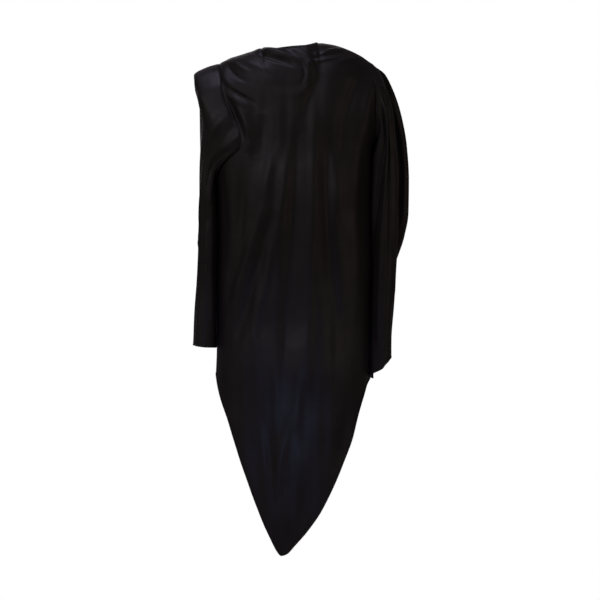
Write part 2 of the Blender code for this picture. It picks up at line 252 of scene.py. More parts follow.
def makeSatin(name):
    # Silk satin, warp-faced: long smooth floats give a broad soft glow, and
    # slightly uneven threads break it up.
    material = bpy.data.materials.new(name)
    material.use_nodes = True
    tree = material.node_tree
    tree.nodes.clear()
    place = addNode(tree, "ShaderNodeTexCoord")
    blotch = addNode(tree, "ShaderNodeTexNoise", {"Scale": 14.0, "Detail": 3.0, "Roughness": 0.55},
                     {"Vector": place.outputs["Object"]})
    colour = addNode(tree, "ShaderNodeValToRGB", links={"Fac": blotch.outputs["Fac"]})
    colour.color_ramp.elements[0].position = 0.35
    colour.color_ramp.elements[1].position = 0.68
    colour.color_ramp.elements[0].color = linear(satinLook["deep"])
    colour.color_ramp.elements[1].color = linear(satinLook["light"])
    low, high = satinLook["roughness"]
    gloss = addNode(tree, "ShaderNodeMapRange",
                    {"From Min": 0.3, "From Max": 0.7, "To Min": high, "To Max": low},
                    {"Value": blotch.outputs["Fac"]})
    stretched = addNode(tree, "ShaderNodeMapping",
                        {"Scale": (1 / satinLook["slubLength"], 1 / (satinLook["threadSpacing"] * 2), 1.0)},
                        {"Vector": place.outputs["UV"]})
    slubs = addNode(tree, "ShaderNodeTexNoise", {"Scale": 1.0, "Detail": 2.0},
                    {"Vector": stretched.outputs["Vector"]})
    threads = addNode(tree, "ShaderNodeTexWave",
                      {"bands_direction": "X", "Scale": 1 / (satinLook["threadSpacing"] * 6.283),
                       "Distortion": 0.6, "Detail": 1.0},
                      {"Vector": place.outputs["UV"]})
    wrinkles = addNode(tree, "ShaderNodeTexNoise",
                       {"Scale": 1 / satinLook["wrinkleSize"], "Detail": 2.5, "Roughness": 0.45},
                       {"Vector": place.outputs["UV"]})
    soft = addNode(tree, "ShaderNodeBump", {"Strength": 0.30, "Distance": 0.0009},
                   {"Height": wrinkles.outputs["Fac"]})
    uneven = addNode(tree, "ShaderNodeBump", {"Strength": 0.22, "Distance": 0.00018},
                     {"Height": slubs.outputs["Fac"], "Normal": soft.outputs["Normal"]})
    fine = addNode(tree, "ShaderNodeBump", {"Strength": 0.16, "Distance": 0.00008},
                   {"Height": threads.outputs["Fac"], "Normal": uneven.outputs["Normal"]})
    shader = addNode(tree, "ShaderNodeBsdfPrincipled",
                     {"Specular IOR Level": satinLook["specular"], "IOR": 1.5,
                      "Anisotropic": satinLook["anisotropy"], "Sheen Weight": satinLook["sheen"],
                      "Sheen Roughness": 0.4, "Sheen Tint": linear(satinLook["sheenTint"])},
                     {"Base Color": colour.outputs["Color"], "Roughness": gloss.outputs["Result"],
                      "Normal": fine.outputs["Normal"]})
    addNode(tree, "ShaderNodeOutputMaterial", links={"Surface": shader.outputs["BSDF"]})
    material.diffuse_color = linear(satinLook["light"])
    return material


threadLook = {"colour": "#16141a", "roughness": 0.42, "twist": 0.0006}


def makeThread():
    # Polyester sewing thread, two-ply: a slanted twist shows along each stitch.
    material = bpy.data.materials.new("polyesterSewingThread")
    material.use_nodes = True
    tree = material.node_tree
    tree.nodes.clear()
    place = addNode(tree, "ShaderNodeTexCoord")
    twist = addNode(tree, "ShaderNodeTexWave",
                    {"bands_direction": "DIAGONAL", "Scale": 1 / (threadLook["twist"] * 6.283)},
                    {"Vector": place.outputs["Object"]})
    bump = addNode(tree, "ShaderNodeBump", {"Strength": 0.4, "Distance": 0.0001},
                   {"Height": twist.outputs["Fac"]})
    shader = addNode(tree, "ShaderNodeBsdfPrincipled",
                     {"Base Color": linear(threadLook["colour"]), "Roughness": threadLook["roughness"]},
                     {"Normal": bump.outputs["Normal"]})
    addNode(tree, "ShaderNodeOutputMaterial", links={"Surface": shader.outputs["BSDF"]})
    return material


def makeMesh(name, points, material, ring=False, turned=False, thickness=None):
    # Quads over a grid, UVs in metres along and across the cloth, and a wall
    # that grows inwards.
    rows, columns = points.shape[:2]
    index = np.arange(rows * columns).reshape(rows, columns)
    wide = points
    if ring:
        index = np.concatenate([index, index[:, :1]], axis=1)
        wide = np.concatenate([points, points[:, :1]], axis=1)
    across = runOf(wide, axis=1)
    across = across - across[:, across.shape[1] // 2][:, None]
    uv = np.stack([across, runOf(wide, axis=0)], axis=-1).reshape(-1, 2) * mm
    cell = np.arange(index.size).reshape(index.shape)
    corners = [(slice(None, -1), slice(None, -1)), (slice(1, None), slice(None, -1)),
               (slice(1, None), slice(1, None)), (slice(None, -1), slice(1, None))]
    if turned:
        corners.reverse()
    faces = np.stack([index[c] for c in corners], axis=-1).reshape(-1, 4)
    cells = np.stack([cell[c] for c in corners], axis=-1).reshape(-1)
    mesh = bpy.data.meshes.new(name)
    mesh.from_pydata((points.reshape(-1, 3) * mm).tolist(), [], faces.tolist())
    mesh.uv_layers.new(name="cloth").data.foreach_set("uv", uv[cells].ravel())
    mesh.shade_smooth()
    mesh.materials.append(material)
    piece = bpy.data.objects.new(name, mesh)
    bpy.context.scene.collection.objects.link(piece)
    if thickness:
        wall = piece.modifiers.new("wall", "SOLIDIFY")
        wall.thickness = thickness * mm
        wall.offset = -1
    return piece


def settle(piece, slotName, *nodes):
    # Every piece rides on the one body, and a cloth takes its node's place.
    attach(piece, body)
    if nodes:
        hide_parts(*nodes)
    return piece


panelLook = {
    "columns": 162,          # a multiple of 18 keeps the neck points and the tip on a column
    "sideCrowding": 0.6,
    "armCrowding": 0.5,
    "neckStart": 1 / 3,      # share of the columns before each neck point
    "neckEnd": 11 / 18,
    "tipShare": 4 / 9,       # share of the columns before the tip of the tail
    "tipFraction": 0.4256,   # where the tip lies between the sides
    "topEasing": 1.5,        # how fast the rows leave the shoulder line
    "hemEasing": 1.7,        # how late they turn into the hem
    "front": {"armRows": 100, "sideRows": 150, "neckDepth": 70.0, "neckDip": 12.0},
    "back": {"armRows": 76, "sideRows": 92, "neckDepth": 60.0, "neckDip": -6.0, "hemDip": 58.0},
}

# Columns: x, down.
frontHem = np.array((
    (-169.6, 661), (-162, 696), (-141, 761), (-113, 844), (-85, 927), (-49, 1010),
    (-36, 1035), (-28, 1043), (-17, 1040), (0, 1023), (46, 967), (90, 884),
    (124, 800), (145, 717), (155, 685), (163.1, 674),
), float)


def columnFractions():
    # Closer together at the sides, with one column on the tip.
    fine = np.linspace(0.0, 1.0, 400)
    places = crowd(fine, panelLook["sideCrowding"])
    tip = np.interp(panelLook["tipFraction"], places, fine)
    warp = np.log(tip) / np.log(panelLook["tipShare"])
    u = np.linspace(0.0, 1.0, panelLook["columns"] + 1)
    return np.interp(u ** warp, fine, places)


def panelEdge(side, face):
    # Down the armhole, then down the side seam.
    look = panelLook[face]
    fractions = crowd(np.linspace(0.0, 1.0, look["armRows"] + 1), panelLook["armCrowding"])
    armpit = (float(form(side, underarm[side])), underarm[side])
    arm = along(armholes[side, face] + (armpit,), fractions)
    down = np.linspace(arm[-1, 1], sideEnd[side], look["sideRows"] + 1)[1:]
    return np.concatenate([arm, np.stack([form(side, down), down], axis=-1)])


def panelPoints(face):
    # Rows run from side to side. Near the top they follow the shoulders and
    # neck, near the bottom the hem, and each point takes its depth from the form.
    look = panelLook[face]
    left, right = panelEdge("left", face), panelEdge("right", face)
    c = columnFractions()
    row = np.arange(len(left))[:, None]
    x = left[:, :1] + (right[:, :1] - left[:, :1]) * c
    down = left[:, 1:] + (right[:, 1:] - left[:, 1:]) * ease(c)
    first = round(panelLook["neckStart"] * panelLook["columns"])
    last = round(panelLook["neckEnd"] * panelLook["columns"])
    top = np.where(x[0] < 0, smooth(leftShoulder[:, 0], leftShoulder[:, 1], x[0]),
                   smooth(rightShoulder[:, 0], rightShoulder[:, 1], x[0]))
    topDepth = np.zeros(len(c))
    neck = slice(first, last + 1)
    share = (x[0][neck] - x[0][first]) / (x[0][last] - x[0][first])
    tau = 2 * share - 1
    n = cloth["squareness"]
    top[neck] = top[first] + (top[last] - top[first]) * share + look["neckDip"] * (1 - tau ** 2)
    topDepth[neck] = look["neckDepth"] * (1 - np.abs(tau) ** n) ** (1 / n)
    down = down + (top - down[0]) * np.clip(1 - row / look["armRows"], 0.0, 1.0) ** panelLook["topEasing"]
    hem = smooth(frontHem[:, 0], frontHem[:, 1], x[-1]) if face == "front" else (
        down[-1] + look["hemDip"] * 4 * c * (1 - c))
    fall = np.clip((row - look["armRows"]) / look["sideRows"], 0.0, 1.0) ** panelLook["hemEasing"]
    down = down + (hem - down[-1]) * fall
    drop = np.clip((down - top) / cloth["shoulderRound"], 0.0, 1.0)
    ramp = np.sqrt(1 - (1 - drop) ** 2)
    depth = topDepth + (formDepth(face, x, down) - topDepth) * ramp + cloth["seamGap"] / 2
    return np.stack([x, -depth if face == "front" else depth, -down], axis=-1), (first, last)


def fromSeams(points, neck):
    # Distance of each point from the nearest sewn edge: sides, armholes, shoulders.
    # Within the neck, which is free, that is the distance from its nearer end.
    across = runOf(points, axis=1)
    side = np.minimum(across, across[:, -1:] - across)
    x = points[0, :, 0]
    inside = np.maximum(np.minimum(x - x[neck[0]], x[neck[1]] - x), 0.0)
    top = np.hypot(runOf(points, axis=0), inside)
    return np.minimum(side, top)


# Folds of the front. Columns: name, x and down of three points, half breadth,
# height (below zero for a trough), lean.
frontFolds = (
    ("armholeRidge", -132, 78, -108, 120, -95, 168, 11, 6.0, 0.35),
    ("armholeWedge", -150, 56, -128, 112, -110, 152, 8, -5.0, 0.3),
    ("shoulderRidge", 176, 40, 152, 107, 132, 241, 15, 8.0, 0.2),
    ("shoulderRidgeLow", 124, 221, 128, 379, 132, 520, 17, 4.5, 0.2),
    ("shoulderHollow", 142, 26, 118, 84, 103, 158, 14, -6.5, 0.0),
    ("chestRidge", 39, 150, 37, 390, 20, 655, 16, 6.5, -0.2),
    ("chestRidgeLow", 18, 663, -3, 757, -32, 873, 18, 4.5, 0.0),
    ("middleTrough", 8, 165, -7, 378, -22, 654, 15, -8.0, 0.2),
    ("middleLip", -16, 205, -30, 360, -46, 560, 11, 3.0, 0.3),
    ("rightTrough", 71, 162, 71, 315, 88, 505, 13, -7.0, -0.25),
    ("rightTroughLow", 88, 484, 98, 579, 92, 649, 24, -6.0, 0.0),
    ("rightRidge", 95, 221, 94, 273, 100, 330, 10, 3.5, 0.2),
    ("hipTrough", -56, 349, -81, 438, -115, 569, 11, -7.0, 0.3),
    ("hipRidgeOuter", -72, 326, -103, 425, -140, 537, 12, 4.5, 0.3),
    ("hipRidgeInner", -38, 326, -54, 432, -86, 569, 12, 5.0, -0.3),
    ("sideTrough", -108, 248, -119, 347, -134, 497, 13, -4.5, 0.0),
    ("bustHollow", -66, 112, -68, 158, -70, 205, 16, -7.5, 0.0),
    ("bustRidge", -42, 196, -58, 250, -72, 318, 12, 3.0, 0.0),
    ("neckHollow", 44, -8, 44, 30, 32, 82, 14, -8.5, 0.55),
    ("neckCurl", 3, -26, 40, 10, 34, 46, 5.5, 5.0, 0.5),
    ("neckCurlFoot", 32, 48, 22, 62, -4, 66, 11, 2.0, 0.2),
    ("neckCurlInside", 8, 2, 21, 18, 18, 40, 3.5, -3.0, 0.0),
    ("neckRoll", -70, -30, -34, -22, 2, -8, 7, 4.5, -0.3),
    ("neckRollUnder", -80, -22, -50, -10, -12, 4, 6, -6.0, 0.4),
    ("neckPleatA", 52, -20, 76, -26, 98, -30, 4.0, 3.5, 0.3),
    ("neckPleatB", 36, 0, 60, -6, 86, -10, 4.0, 3.2, 0.3),
    ("neckPleatC", 100, -4, 116, -8, 128, -10, 5.0, 2.4, 0.0),
    ("neckPleatGap", 44, -10, 70, -15, 96, -20, 4.0, -3.0, 0.0),
    ("shoulderLight", -116, -4, -86, 6, -56, 24, 12, 4.5, 0.2),
    ("capRidge", -152, 14, -143, 42, -118, 64, 7, 3.2, 0.3),
    ("capTrough", -140, 8, -124, 28, -98, 42, 5, -3.4, 0.0),
    ("capRidgeTop", -130, -4, -110, 14, -84, 24, 6, 3.0, 0.2),
    ("capTroughLow", -140, 52, -120, 68, -94, 84, 5.5, -3.6, -0.3),
    ("capRidgeLow", -138, 72, -118, 84, -96, 100, 7, 2.6, 0.3),
    ("underarmFold", -160, 232, -150, 300, -148, 420, 8, -2.6, 0.0),
    ("tailTrough", -59, 783, -49, 846, -38, 930, 12, -5.5, 0.3),
    ("tailRidge", -20, 795, -36, 873, -28, 967, 12, 5.5, -0.2),
    ("tailHollow", 12, 880, 22, 936, 6, 985, 15, -5.5, 0.0),
    ("tailSoftLeft", -140, 700, -122, 790, -96, 880, 16, 2.5, 0.0),
    ("tailSoftRight", 120, 700, 108, 790, 78, 880, 18, -3.0, 0.0),
    ("hipSoft", 62, 560, 58, 660, 48, 780, 17, 2.8, 0.0),
)

# The back hangs from both shoulder blades in long soft folds.
backFolds = (
    ("bladeRidgeLeft", -96, 60, -104, 220, -112, 420, 15, 5.0, 0.2),
    ("bladeTroughLeft", -62, 90, -70, 260, -82, 520, 16, -5.5, -0.2),
    ("spineRidge", -26, 120, -32, 330, -40, 640, 18, 5.0, 0.1),
    ("spineTrough", 12, 60, 8, 290, 2, 600, 16, -6.0, 0.2),
    ("bladeRidgeRight", 52, 80, 50, 300, 44, 650, 17, 5.5, -0.2),
    ("bladeTroughRight", 92, 130, 92, 320, 96, 560, 13, -5.0, 0.2),
    ("sideRidgeRight", 122, 250, 126, 400, 124, 620, 13, 4.0, 0.0),
    ("sideTroughLeft", -132, 260, -136, 420, -132, 610, 12, -4.0, 0.0),
    ("hipRidgeLeft", -108, 480, -98, 590, -84, 700, 15, 4.0, 0.2),
    ("neckFoldA", -60, -22, -10, 2, 44, -16, 8, -3.5, 0.3),
    ("neckFoldB", -84, 4, -10, 34, 70, 8, 9, 3.0, 0.3),
    ("neckFoldC", -96, 40, -14, 72, 84, 42, 11, -2.6, 0.3),
    ("armPullLeft", -146, 176, -122, 166, -92, 172, 7, 2.8, 0.3),
    ("armPullRight", 160, 170, 136, 158, 108, 162, 7, 2.8, 0.3),
)

# Columns: length across, length down, height, shift.
panelRipples = ((61, 900, 0.7, 0.4), (37, -640, 0.45, 1.9), (143, 210, 0.9, 0.8), (23, 1500, 0.22, 2.7))


def clothPanel(face, folds):
    # Panel on the form, raised by its folds and ripples, pulled in at its seams.
    points, neck = panelPoints(face)
    x, down = points[..., 0], -points[..., 2]
    height = sum(foldHeight(fold, x, down) for fold in folds)
    height = height + rippleHeight(panelRipples, x, down) * ease((down - 20) / 120)
    away = fromSeams(points, neck)
    height = height * ease(away / cloth["foldFade"])
    height = height + seamHeight(away, x, down)
    out = normalsOf(points) * (1 if face == "front" else -1)
    return points + out * height[..., None], points


# Sleeves as loops through four points, from the armhole to the cuff. Columns:
# outer x and down, front x, down and y, inner x and down, back y.
sleeveLook = {
    "blendShare": 0.5, "clearFrom": 184.0, "clearRamp": 20.0, "bodyClearance": 2.0,
    "hug": {"left": 11.5, "right": 15.0},    # how far the inner corners reach round the body
    "hugFrom": 0.12, "hugOver": 0.25,        # share of the length where that starts, and how soon
    "swell": 0.85,                           # below 1 a section is fuller than an ellipse
    "closest": 0.6,                          # share of the clearance that a fold may leave
    "left": {
        "rings": 210, "around": 132,
        "rows": (
            (-163, -5, -124, 118, -73, -179, 216, 73),
            (-192, 4, -141, 132, -75, -184.5, 220, 72),
            (-217, 21, -156, 150, -76, -185.5, 228, 72),
            (-214, 50, -169, 168, -74, -184, 236, 71),
            (-205, 90, -178, 192, -71, -182, 246, 70),
            (-203, 134, -184, 218, -68, -180.5, 258, 68),
            (-203.5, 205, -187, 261, -66, -178.5, 285, 66),
            (-205.5, 300, -188, 314, -65, -176, 322, 65),
            (-208.5, 430, -189.5, 435, -65, -175, 441, 65),
            (-216, 540, -192, 543, -66, -175, 548, 66),
            (-219, 602, -194, 606, -66, -175, 607, 66),
        ),
    },
    "right": {
        "rings": 210, "around": 132,
        "rows": (
            (166, -6, 174, 99, -60, 170.4, 192, 60),
            (172, 0, 181, 106, -60, 174.5, 195, 60),
            (181, 9, 187, 116, -61, 175.5, 201, 60),
            (198, 47, 194, 146, -61, 175.5, 218, 60),
            (207, 78, 197, 174, -61, 174.5, 238, 60),
            (216, 150, 198, 220, -61, 173.5, 274, 60),
            (221, 245, 198, 292, -61, 173, 330, 60),
            (220.5, 365, 197, 388, -60, 174, 405, 60),
            (216, 485, 195, 491, -60, 173.5, 500, 60),
            (209, 590, 191, 600, -60, 172, 612, 60),
            (208.4, 628, 190, 650, -60, 170, 674, 60),
        ),
    },
}

# Across is measured round the sleeve from its front line, outwards below zero.
plainSleeveFolds = (
    ("capHollow", -20, 60, 10, 96, 24, 150, 7, -4.5, 0.4),
    ("capRoll", -36, 84, -6, 118, 12, 166, 7, 3.0, 0.0),
    ("capRollOuter", -52, 60, -30, 120, -18, 178, 8, -2.2, 0.0),
    ("armpitFold", 30, 196, 16, 218, 2, 262, 5, 3.4, 0.4),
    ("armpitTrough", 40, 206, 26, 236, 10, 290, 5, -3.2, 0.0),
    ("frontTrough", 12, 250, 10, 380, 14, 540, 6, -3.2, 0.2),
    ("frontRidge", -6, 230, -8, 380, -4, 580, 7, 3.0, 0.0),
    ("outerTrough", -30, 180, -28, 330, -34, 500, 8, -2.8, 0.2),
    ("elbowFoldA", -60, 330, -30, 348, -2, 340, 6, 2.2, 0.3),
    ("elbowFoldB", -62, 372, -34, 384, -8, 372, 6, -2.0, 0.3),
    ("cuffTrough", -14, 500, -18, 550, -16, 607, 8, -2.4, 0.0),
    ("backRidge", 140, 230, 132, 380, 138, 580, 10, 3.5, 0.2),
    ("backTrough", 112, 260, 110, 400, 104, 560, 9, -3.5, 0.0),
    ("backTroughOuter", 172, 160, 168, 340, 166, 520, 9, -3.5, 0.2),
    ("elbowBackA", 118, 330, 146, 352, 176, 338, 7, 2.6, 0.3),
    ("elbowBackB", 120, 376, 148, 392, 176, 380, 7, -2.2, 0.3),
)
slantedSleeveFolds = (
    ("innerRidge", -60, 60, 18, 200, 34, 560, 7, 4.5, 0.2),
    ("innerTrough", -70, 48, -2, 190, 13, 580, 5, -6.0, 0.2),
    ("middleRidge", -80, 40, -20, 190, -6, 610, 6, 5.0, 0.0),
    ("outerTrough", -88, 60, -40, 200, -26, 500, 4.5, -5.0, 0.2),
    ("outerRidge", -98, 60, -56, 220, -42, 540, 5.5, 3.5, 0.0),
    ("outerSoft", -104, 90, -72, 260, -62, 480, 7, -3.0, 0.0),
    ("cuffSoft", 6, 560, -2, 610, -6, 660, 7, 2.5, 0.0),
    ("elbowFoldA", -70, 372, -44, 388, -12, 378, 6, 1.8, 0.3),
    ("backRidge", 128, 200, 124, 380, 130, 600, 10, 4.0, 0.2),
    ("backTrough", 104, 240, 102, 400, 106, 560, 8, -4.0, 0.0),
    ("backTroughOuter", 160, 150, 156, 340, 152, 540, 9, -4.0, 0.2),
    ("elbowBackA", 106, 372, 132, 392, 160, 380, 7, 2.4, 0.3),
)
sleeveRipples = ((43, 700, 0.35, 0.3), (90, 160, 0.5, 1.3))


def armholeRing(side, count, panels):
    # From the shoulder down the front edge and up the back edge.
    column = 0 if side == "left" else -1
    halves = []
    for face, points in zip(("front", "back"), panels):
        edge = points[:panelLook[face]["armRows"] + 1, column]
        halves.append(along(edge, np.linspace(0, 1, count // 2 + 1)))
    return np.concatenate([halves[0], halves[1][-2:0:-1]])


def fourPointLoops(rows, phi):
    # Middle, plus across by the cosine, plus through by the sine, plus a bow.
    outerX, outerDown, frontX, frontDown, frontY, innerX, innerDown, backY = rows.T
    zero = np.zeros(len(rows))
    outer = np.stack([outerX, zero, -outerDown], axis=-1)[:, None]
    inner = np.stack([innerX, zero, -innerDown], axis=-1)[:, None]
    front = np.stack([frontX, frontY, -frontDown], axis=-1)[:, None]
    back = np.stack([frontX, backY, -frontDown], axis=-1)[:, None]
    middle = (outer + inner) / 2
    sine = np.sin(phi)[None, :, None]
    swell = np.sign(sine) * np.abs(sine) ** sleeveLook["swell"]
    return (middle + np.cos(phi)[None, :, None] * (outer - inner) / 2
            + swell * (front - back) / 2 + sine ** 2 * ((front + back) / 2 - middle))


def clearOfBody(points, room):
    # Moved out from the body's middle until the surface is cleared.
    x, y, z = points[..., 0], points[..., 1], points[..., 2]
    middle = (form("right", -z) + form("left", -z)) / 2
    half = (form("right", -z) - form("left", -z)) / 2
    depth = np.where(y < 0, form("front", -z), form("back", -z))
    n = cloth["squareness"]
    reach = ((np.abs(x - middle) / half) ** n + (np.abs(y) / depth) ** n) ** (1 / n)
    scale = np.maximum((1 + room / half) / reach, 1.0)
    ramp = np.clip((-z - sleeveLook["clearFrom"]) / sleeveLook["clearRamp"], 0.0, 1.0)
    scale = 1 + (scale - 1) * ramp
    return np.stack([middle + (x - middle) * scale, y * scale, z], axis=-1)


def clothSleeve(side, folds, forms, panels):
    # Rings from the armhole, whose own shape fades out down the sleeve, raised
    # by folds that are placed round the sleeve and down it. At the armhole the
    # cloth is drawn in as far as the panels it is sewn to.
    look = sleeveLook[side]
    table = np.array(look["rows"], float)
    v = np.linspace(0.0, 1.0, look["rings"] + 1)
    at = v * (len(table) - 1)
    rows = np.stack([smooth(np.arange(len(table)), column, at) for column in table.T], axis=-1)
    phi = np.linspace(0.0, 2 * np.pi, look["around"], endpoint=False)
    rings = fourPointLoops(rows, phi)
    corner = 4 * np.sin(phi) ** 2 * np.minimum(np.cos(phi), 0) ** 2
    hug = sleeveLook["hug"][side] * (1 if side == "left" else -1)
    rings[..., 0] += hug * corner * ease((v - sleeveLook["hugFrom"]) / sleeveLook["hugOver"])[:, None]
    hole = armholeRing(side, look["around"], forms)
    shape = hole - rings[0]
    fade = ease(1 - v / sleeveLook["blendShare"])
    rings = clearOfBody(rings + fade[:, None, None] * shape, sleeveLook["bodyClearance"])
    closed = np.concatenate([rings, rings[:, :1]], axis=1)
    run = runOf(closed, axis=1)
    around = run[:, -1:]
    front = look["around"] // 4
    across = run[:, :-1] - run[:, front:front + 1]
    down = -rings[..., 2]
    height = rippleHeight(sleeveRipples, across, down)
    for turn in (-1, 0, 1):
        height = height + sum(foldHeight(fold, across + turn * around, down) for fold in folds)
    away = runOf(rings, axis=0)
    height = height * ease(away / cloth["foldFade"])
    out = normalsOf(rings, ring=True) * (-1 if side == "left" else 1)
    sewn = armholeRing(side, look["around"], panels) - hole
    drawnIn = np.exp(-(away / cloth["seamReach"]) ** 2)
    rings = rings + out * height[..., None] + sewn * drawnIn[..., None]
    return clearOfBody(rings, sleeveLook["bodyClearance"] * sleeveLook["closest"])


# Drape behind the slanted sleeve. Columns: x, down and y of the fold, gap
# between the layers, level on the sewn line.
drapeLook = {
    "lines": 150, "layerPoints": 46, "turnPoints": 14, "sewnX": (140.0, 124.0), "lift": 1.3,
    "turn": 80.0,            # degrees that the fold turns to each side
    "belly": 1.6,            # how fast the near layer leaves the back
    "foldFade": 12.0,        # its folds die out over this distance from the sewn lines
    "rows": (
        (180, 0, 46, 7, 6),
        (196, 11, 58, 9, 16),
        (219, 53, 79, 12, 52),
        (237, 111, 88, 15, 104),
        (247, 172, 89, 16, 150),
        (251, 240, 88, 16, 212),
        (250, 312, 87, 15, 268),
        (241, 365, 85, 12, 312),
        (221, 424, 80, 7, 356),
    ),
}

# Across is measured from the folded edge, the near layer below zero.
drapeFolds = (
    ("nearTrough", -18, 60, -15, 190, -18, 340, 5, -2.6, 0.2),
    ("nearRidge", -30, 50, -28, 190, -32, 330, 6, 2.4, 0.0),
    ("farTroughA", 30, 40, 26, 190, 30, 350, 8, -4.0, 0.2),
    ("farRidgeA", 52, 40, 50, 180, 54, 330, 9, 4.5, 0.0),
    ("farTroughB", 78, 50, 78, 170, 84, 310, 9, -4.0, 0.0),
)


def depthOn(points, x, downs):
    # Depth of a panel's own points at some levels on one line down it.
    y = [np.interp(x, row[:, 0], row[:, 1]) for row in points]
    down = [np.interp(x, row[:, 0], -row[:, 2]) for row in points]
    return np.interp(downs, down, y)


def clothDrape(back):
    # Out along the near layer, round the fold and back along the far layer.
    look = drapeLook
    table = np.array(look["rows"], float)
    at = np.linspace(0.0, len(table) - 1, look["lines"])
    foldX, foldDown, foldY, gap, sewn = (
        smooth(np.arange(len(table)), column, at)[:, None] for column in table.T)
    nearX, farX = look["sewnX"]
    nearY = depthOn(back, nearX, sewn) + look["lift"]
    farY = depthOn(back, farX, sewn) + look["lift"]
    t = np.linspace(0.0, 1.0, look["layerPoints"])
    end = foldX - gap / 2
    near = (nearX + (end - nearX) * t,
            nearY + (foldY - gap / 2 - nearY) * (1 - (1 - t) ** look["belly"]),
            sewn + (foldDown - sewn) * t)
    turn = np.radians(np.linspace(-look["turn"], look["turn"], look["turnPoints"]))
    fold = (end + gap / 2 * np.cos(turn), foldY + gap / 2 * np.sin(turn), foldDown + 0 * turn)
    t = t[::-1]
    far = (farX + (end - farX) * t,
           farY + (foldY + gap / 2 - farY) * np.sin(np.pi / 2 * t),
           sewn + (foldDown - sewn) * t)
    x, y, down = (np.concatenate(parts, axis=1) for parts in zip(near, fold, far))
    points = np.stack([x, y, -down], axis=-1)
    run = runOf(points, axis=1)
    middle = look["layerPoints"] + look["turnPoints"] // 2
    across = run - run[:, middle:middle + 1]
    height = sum(foldHeight(item, across, down) for item in drapeFolds)
    height = height * ease(np.minimum(run, run[:, -1:] - run) / look["foldFade"])
    return points - normalsOf(points) * height[..., None]


# Rolled hems: a flat tube of cloth that wraps a free edge.
hemLook = {"width": 3.6, "height": 1.5, "sides": 12, "overhang": 0.5, "step": 3.0}
stitchLook = {
    "pitch": 3.4, "length": 2.3, "radius": 0.24, "fromEdge": 2.9, "sides": 6,
    "lift": 0.36,                            # share of the hem's height
    "stations": (-0.5, -0.36, 0.36, 0.5),    # shares of the length
    "swell": (0.3, 1.0, 1.0, 0.3),           # shares of the radius there
}


def evenly(points, spacing, closed):
    # The same line with points at even steps.
    line = np.concatenate([points, points[:1]]) if closed else points
    run = runOf(line)
    count = max(int(run[-1] / spacing), 2)
    steps = np.linspace(0, run[-1], count + 1)
    if closed:
        steps = steps[:-1]
    return np.stack([np.interp(steps, run, column) for column in line.T], axis=-1)


def edgeFrame(edge, inner, spacing, face, closed):
    # The edge at even steps, then three directions there: along it, into the
    # cloth, and square to both on the outer side.
    points = evenly(edge, spacing, closed)
    towards = evenly(inner, spacing, closed)
    share, place = np.linspace(0, 1, len(points)), np.linspace(0, 1, len(towards))
    towards = np.stack([np.interp(share, place, column) for column in towards.T], axis=-1)
    if closed:
        head = np.roll(points, -1, axis=0) - np.roll(points, 1, axis=0)
    else:
        head = np.gradient(points, axis=0)
    head = head / np.maximum(np.linalg.norm(head, axis=1, keepdims=True), 1e-9)
    into = towards - points
    into = into - head * np.sum(into * head, axis=1, keepdims=True)
    into = into / np.maximum(np.linalg.norm(into, axis=1, keepdims=True), 1e-9)
    out = np.cross(head, into) * face
    return points, head, into, out


def rolledHem(name, edge, inner, face, material, slotName, closed=False):
    # An ellipse carried along the edge: width into the cloth, height across it.
    line, head, into, out = edgeFrame(edge, inner, hemLook["step"], face, closed)
    angle = np.linspace(0, 2 * np.pi, hemLook["sides"], endpoint=False)[None, :, None]
    middle = line + into * (hemLook["width"] / 2 - hemLook["overhang"]) - out * cloth["thickness"] / 2
    tube = (middle[:, None] + into[:, None] * np.cos(angle) * hemLook["width"] / 2
            + out[:, None] * np.sin(angle) * hemLook["height"] / 2)
    if closed:
        tube = np.concatenate([tube, tube[:1]])
    else:
        ends = [np.repeat(middle[place][None, None], hemLook["sides"], axis=1) for place in (0, -1)]
        tube = np.concatenate([ends[0], tube, ends[1]])
    piece = makeMesh(name, tube, material, ring=True, turned=face < 0)
    piece.data.validate()
    return settle(piece, slotName)


def stitches(name, edge, inner, face, material, slotName, closed=False):
    # Short threads with blunt ends, one at every step of the pitch: rings at
    # stations along each, all in one mesh.
    line, head, into, out = edgeFrame(edge, inner, stitchLook["pitch"], face, closed)
    if not closed:
        line, head, into, out = line[1:-1], head[1:-1], into[1:-1], out[1:-1]
    stations = np.array(stitchLook["stations"]) * stitchLook["length"]
    radii = np.array(stitchLook["swell"]) * stitchLook["radius"]
    sideCount = stitchLook["sides"]
    angle = np.linspace(0, 2 * np.pi, sideCount, endpoint=False)
    base = line + into * stitchLook["fromEdge"] + out * (hemLook["height"] * stitchLook["lift"])
    points = (base[:, None, None] + head[:, None, None] * stations[None, :, None, None]
              + into[:, None, None] * (radii[:, None] * np.cos(angle))[None, :, :, None]
              + out[:, None, None] * (radii[:, None] * np.sin(angle))[None, :, :, None])
    ring = np.arange(len(stations) * sideCount).reshape(-1, sideCount)
    after = np.roll(ring, -1, axis=1)
    sides = np.stack([ring[:-1], ring[1:], after[1:], after[:-1]], axis=-1).reshape(-1, 4)
    offsets = ring.size * np.arange(len(base))[:, None]
    quads = (sides[None] + offsets[:, :, None]).reshape(-1, 4)
    ends = np.concatenate([ring[0] + offsets, ring[-1][::-1] + offsets])
    mesh = bpy.data.meshes.new(name)
    mesh.from_pydata((points.reshape(-1, 3) * mm).tolist(), [], quads.tolist() + ends.tolist())
    mesh.shade_smooth()
    mesh.materials.append(material)
    piece = bpy.data.objects.new(name, mesh)
    bpy.context.scene.collection.objects.link(piece)
    return settle(piece, slotName)


